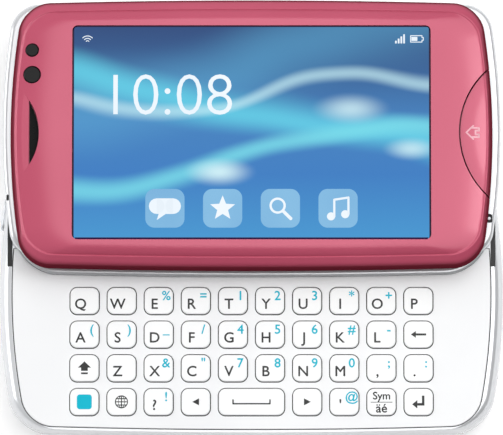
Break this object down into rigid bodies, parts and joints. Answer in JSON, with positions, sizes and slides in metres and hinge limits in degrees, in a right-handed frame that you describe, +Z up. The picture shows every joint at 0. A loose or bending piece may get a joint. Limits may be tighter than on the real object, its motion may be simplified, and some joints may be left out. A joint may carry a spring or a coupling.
{
  "type": "slider phone",
  "caption": "Mobile phone whose touch screen half slides open on steel rails over a full keyboard; it lies on its back, slid open, with a pink front cover.",
  "frame": {"origin": "middle of the open phone's footprint, on the surface that its back lies on", "axes": "+X along the phone's long side, +Y the way the upper half slides open, +Z up out of the screen"},
  "size_m": [0.093, 0.0804, 0.0179],
  "materials": {
    "cover_pink": "glossy pink moulding",
    "silver_white": "glossy silver-white lacquer",
    "plate_white": "satin white",
    "key_white": "satin white key caps",
    "black_plastic": "fine black",
    "display_black": "dark display face",
    "window_glass": "clear touch window",
    "sensor_glass": "dark polished lens",
    "steel": "stamped plain steel",
    "board_green": "solder-masked board",
    "mat_rubber": "moulded silicone",
    "cell_grey": "film-wrapped cell",
    "display_picture": "lit picture on the display",
    "legend_grey": "printed dark legend",
    "legend_teal": "printed teal legend"
  },
  "bodies": {
    "lower_half": {"back_cover": "silver_white", "base_frame": "silver_white", "keyboard_plate": "plate_white", "keypad_mat": "mat_rubber", "main_board": "board_green", "battery": "cell_grey", "camera_module": "black_plastic", "loudspeaker": "black_plastic", "slide_bracket": "steel"},
    "upper_half": {"slider_shell": "silver_white", "slide_rail": "steel", "display_chassis": "steel", "display_panel": "display_black", "touch_window": "window_glass", "front_cover": "cover_pink", "earpiece_grille": "black_plastic", "sensor_window": "sensor_glass"},
    "home_key": {"home_key": "cover_pink"},
    "volume_rocker": {"volume_rocker": "silver_white"},
    "camera_key": {"camera_key": "silver_white"},
    "power_key": {"power_key": "silver_white"},
    "key_q": {"key_q": "key_white"},
    "key_w": {"key_w": "key_white"},
    "key_e": {"key_e": "key_white"},
    "key_r": {"key_r": "key_white"},
    "key_t": {"key_t": "key_white"},
    "key_y": {"key_y": "key_white"},
    "key_u": {"key_u": "key_white"},
    "key_i": {"key_i": "key_white"},
    "key_o": {"key_o": "key_white"},
    "key_p": {"key_p": "key_white"},
    "key_a": {"key_a": "key_white"},
    "key_s": {"key_s": "key_white"},
    "key_d": {"key_d": "key_white"},
    "key_f": {"key_f": "key_white"},
    "key_g": {"key_g": "key_white"},
    "key_h": {"key_h": "key_white"},
    "key_j": {"key_j": "key_white"},
    "key_k": {"key_k": "key_white"},
    "key_l": {"key_l": "key_white"},
    "key_backspace": {"key_backspace": "key_white"},
    "key_shift": {"key_shift": "key_white"},
    "key_z": {"key_z": "key_white"},
    "key_x": {"key_x": "key_white"},
    "key_c": {"key_c": "key_white"},
    "key_v": {"key_v": "key_white"},
    "key_b": {"key_b": "key_white"},
    "key_n": {"key_n": "key_white"},
    "key_m": {"key_m": "key_white"},
    "key_comma": {"key_comma": "key_white"},
    "key_period": {"key_period": "key_white"},
    "key_shortcut": {"key_shortcut": "key_white"},
    "key_language": {"key_language": "key_white"},
    "key_question": {"key_question": "key_white"},
    "key_left": {"key_left": "key_white"},
    "key_space": {"key_space": "key_white"},
    "key_right": {"key_right": "key_white"},
    "key_apostrophe": {"key_apostrophe": "key_white"},
    "key_sym": {"key_sym": "key_white"},
    "key_enter": {"key_enter": "key_white"}
  },
  "joints": [
    {"name": "slide", "type": "slide", "parent": "lower_half", "child": "upper_half", "axis": [0, 1, 0], "range_m": [-0.0284, 0]},
    {"name": "home_key_press", "type": "slide", "parent": "upper_half", "child": "home_key", "axis": [0, 0, -1], "range_m": [0, 0.00025], "stiffness_N_per_m": 800, "springref_m": -0.0005},
    {"name": "volume_rock", "type": "hinge", "parent": "lower_half", "child": "volume_rocker", "pos_m": [-0.02, 0.0103, 0.0051], "axis": [0, 0, 1], "range_deg": [-1.5, 1.5], "stiffness_Nm_per_rad": 0.5},
    {"name": "camera_key_press", "type": "slide", "parent": "lower_half", "child": "camera_key", "axis": [0, -1, 0], "range_m": [0, 0.0003], "stiffness_N_per_m": 800, "springref_m": -0.0005},
    {"name": "power_key_press", "type": "slide", "parent": "lower_half", "child": "power_key", "axis": [0.9916, -0.1294, 0], "range_m": [0, 0.0003], "stiffness_N_per_m": 800, "springref_m": -0.0005},
    {"name": "key_q_press", "type": "slide", "parent": "lower_half", "child": "key_q", "axis": [0, 0, -1], "range_m": [0, 0.00025], "stiffness_N_per_m": 800, "springref_m": -0.0005},
    {"name": "key_w_press", "type": "slide", "parent": "lower_half", "child": "key_w", "axis": [0, 0, -1], "range_m": [0, 0.00025], "stiffness_N_per_m": 800, "springref_m": -0.0005},
    {"name": "key_e_press", "type": "slide", "parent": "lower_half", "child": "key_e", "axis": [0, 0, -1], "range_m": [0, 0.00025], "stiffness_N_per_m": 800, "springref_m": -0.0005},
    {"name": "key_r_press", "type": "slide", "parent": "lower_half", "child": "key_r", "axis": [0, 0, -1], "range_m": [0, 0.00025], "stiffness_N_per_m": 800, "springref_m": -0.0005},
    {"name": "key_t_press", "type": "slide", "parent": "lower_half", "child": "key_t", "axis": [0, 0, -1], "range_m": [0, 0.00025], "stiffness_N_per_m": 800, "springref_m": -0.0005},
    {"name": "key_y_press", "type": "slide", "parent": "lower_half", "child": "key_y", "axis": [0, 0, -1], "range_m": [0, 0.00025], "stiffness_N_per_m": 800, "springref_m": -0.0005},
    {"name": "key_u_press", "type": "slide", "parent": "lower_half", "child": "key_u", "axis": [0, 0, -1], "range_m": [0, 0.00025], "stiffness_N_per_m": 800, "springref_m": -0.0005},
    {"name": "key_i_press", "type": "slide", "parent": "lower_half", "child": "key_i", "axis": [0, 0, -1], "range_m": [0, 0.00025], "stiffness_N_per_m": 800, "springref_m": -0.0005},
    {"name": "key_o_press", "type": "slide", "parent": "lower_half", "child": "key_o", "axis": [0, 0, -1], "range_m": [0, 0.00025], "stiffness_N_per_m": 800, "springref_m": -0.0005},
    {"name": "key_p_press", "type": "slide", "parent": "lower_half", "child": "key_p", "axis": [0, 0, -1], "range_m": [0, 0.00025], "stiffness_N_per_m": 800, "springref_m": -0.0005},
    {"name": "key_a_press", "type": "slide", "parent": "lower_half", "child": "key_a", "axis": [0, 0, -1], "range_m": [0, 0.00025], "stiffness_N_per_m": 800, "springref_m": -0.0005},
    {"name": "key_s_press", "type": "slide", "parent": "lower_half", "child": "key_s", "axis": [0, 0, -1], "range_m": [0, 0.00025], "stiffness_N_per_m": 800, "springref_m": -0.0005},
    {"name": "key_d_press", "type": "slide", "parent": "lower_half", "child": "key_d", "axis": [0, 0, -1], "range_m": [0, 0.00025], "stiffness_N_per_m": 800, "springref_m": -0.0005},
    {"name": "key_f_press", "type": "slide", "parent": "lower_half", "child": "key_f", "axis": [0, 0, -1], "range_m": [0, 0.00025], "stiffness_N_per_m": 800, "springref_m": -0.0005},
    {"name": "key_g_press", "type": "slide", "parent": "lower_half", "child": "key_g", "axis": [0, 0, -1], "range_m": [0, 0.00025], "stiffness_N_per_m": 800, "springref_m": -0.0005},
    {"name": "key_h_press", "type": "slide", "parent": "lower_half", "child": "key_h", "axis": [0, 0, -1], "range_m": [0, 0.00025], "stiffness_N_per_m": 800, "springref_m": -0.0005},
    {"name": "key_j_press", "type": "slide", "parent": "lower_half", "child": "key_j", "axis": [0, 0, -1], "range_m": [0, 0.00025], "stiffness_N_per_m": 800, "springref_m": -0.0005},
    {"name": "key_k_press", "type": "slide", "parent": "lower_half", "child": "key_k", "axis": [0, 0, -1], "range_m": [0, 0.00025], "stiffness_N_per_m": 800, "springref_m": -0.0005},
    {"name": "key_l_press", "type": "slide", "parent": "lower_half", "child": "key_l", "axis": [0, 0, -1], "range_m": [0, 0.00025], "stiffness_N_per_m": 800, "springref_m": -0.0005},
    {"name": "key_backspace_press", "type": "slide", "parent": "lower_half", "child": "key_backspace", "axis": [0, 0, -1], "range_m": [0, 0.00025], "stiffness_N_per_m": 800, "springref_m": -0.0005},
    {"name": "key_shift_press", "type": "slide", "parent": "lower_half", "child": "key_shift", "axis": [0, 0, -1], "range_m": [0, 0.00025], "stiffness_N_per_m": 800, "springref_m": -0.0005},
    {"name": "key_z_press", "type": "slide", "parent": "lower_half", "child": "key_z", "axis": [0, 0, -1], "range_m": [0, 0.00025], "stiffness_N_per_m": 800, "springref_m": -0.0005},
    {"name": "key_x_press", "type": "slide", "parent": "lower_half", "child": "key_x", "axis": [0, 0, -1], "range_m": [0, 0.00025], "stiffness_N_per_m": 800, "springref_m": -0.0005},
    {"name": "key_c_press", "type": "slide", "parent": "lower_half", "child": "key_c", "axis": [0, 0, -1], "range_m": [0, 0.00025], "stiffness_N_per_m": 800, "springref_m": -0.0005},
    {"name": "key_v_press", "type": "slide", "parent": "lower_half", "child": "key_v", "axis": [0, 0, -1], "range_m": [0, 0.00025], "stiffness_N_per_m": 800, "springref_m": -0.0005},
    {"name": "key_b_press", "type": "slide", "parent": "lower_half", "child": "key_b", "axis": [0, 0, -1], "range_m": [0, 0.00025], "stiffness_N_per_m": 800, "springref_m": -0.0005},
    {"name": "key_n_press", "type": "slide", "parent": "lower_half", "child": "key_n", "axis": [0, 0, -1], "range_m": [0, 0.00025], "stiffness_N_per_m": 800, "springref_m": -0.0005},
    {"name": "key_m_press", "type": "slide", "parent": "lower_half", "child": "key_m", "axis": [0, 0, -1], "range_m": [0, 0.00025], "stiffness_N_per_m": 800, "springref_m": -0.0005},
    {"name": "key_comma_press", "type": "slide", "parent": "lower_half", "child": "key_comma", "axis": [0, 0, -1], "range_m": [0, 0.00025], "stiffness_N_per_m": 800, "springref_m": -0.0005},
    {"name": "key_period_press", "type": "slide", "parent": "lower_half", "child": "key_period", "axis": [0, 0, -1], "range_m": [0, 0.00025], "stiffness_N_per_m": 800, "springref_m": -0.0005},
    {"name": "key_shortcut_press", "type": "slide", "parent": "lower_half", "child": "key_shortcut", "axis": [0, 0, -1], "range_m": [0, 0.00025], "stiffness_N_per_m": 800, "springref_m": -0.0005},
    {"name": "key_language_press", "type": "slide", "parent": "lower_half", "child": "key_language", "axis": [0, 0, -1], "range_m": [0, 0.00025], "stiffness_N_per_m": 800, "springref_m": -0.0005},
    {"name": "key_question_press", "type": "slide", "parent": "lower_half", "child": "key_question", "axis": [0, 0, -1], "range_m": [0, 0.00025], "stiffness_N_per_m": 800, "springref_m": -0.0005},
    {"name": "key_left_press", "type": "slide", "parent": "lower_half", "child": "key_left", "axis": [0, 0, -1], "range_m": [0, 0.00025], "stiffness_N_per_m": 800, "springref_m": -0.0005},
    {"name": "key_space_press", "type": "slide", "parent": "lower_half", "child": "key_space", "axis": [0, 0, -1], "range_m": [0, 0.00025], "stiffness_N_per_m": 800, "springref_m": -0.0005},
    {"name": "key_right_press", "type": "slide", "parent": "lower_half", "child": "key_right", "axis": [0, 0, -1], "range_m": [0, 0.00025], "stiffness_N_per_m": 800, "springref_m": -0.0005},
    {"name": "key_apostrophe_press", "type": "slide", "parent": "lower_half", "child": "key_apostrophe", "axis": [0, 0, -1], "range_m": [0, 0.00025], "stiffness_N_per_m": 800, "springref_m": -0.0005},
    {"name": "key_sym_press", "type": "slide", "parent": "lower_half", "child": "key_sym", "axis": [0, 0, -1], "range_m": [0, 0.00025], "stiffness_N_per_m": 800, "springref_m": -0.0005},
    {"name": "key_enter_press", "type": "slide", "parent": "lower_half", "child": "key_enter", "axis": [0, 0, -1], "range_m": [0, 0.00025], "stiffness_N_per_m": 800, "springref_m": -0.0005}
  ]
}
